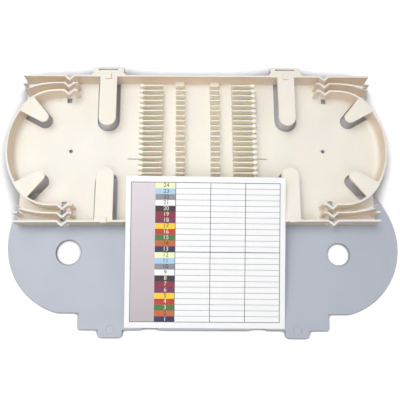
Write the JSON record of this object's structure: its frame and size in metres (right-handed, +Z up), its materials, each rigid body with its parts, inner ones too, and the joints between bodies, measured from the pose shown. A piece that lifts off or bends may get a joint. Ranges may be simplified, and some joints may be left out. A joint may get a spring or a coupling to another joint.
{
  "type": "fibre splice tray",
  "caption": "Shallow fibre splice tray with rounded ends, fin combs, retaining tongues and corner cable ports, laid open with its frosted flat cover and a port index card.",
  "frame": {"origin": "on the table under the middle of the whole layout", "axes": "+X along the tray's length, +Y from the cover towards the tray, +Z up from the table"},
  "size_m": [0.2256, 0.1578, 0.0179],
  "materials": {
    "ivory_plastic": "ivory moulded plastic with a soft satin face",
    "frosted_plastic": "pale blue-grey frosted sheet",
    "card": "stiff coated white board, printed on its upper face"
  },
  "bodies": {
    "root": {"tray": "ivory_plastic", "dust_cover": "frosted_plastic", "index_card": "card"}
  },
  "joints": []
}
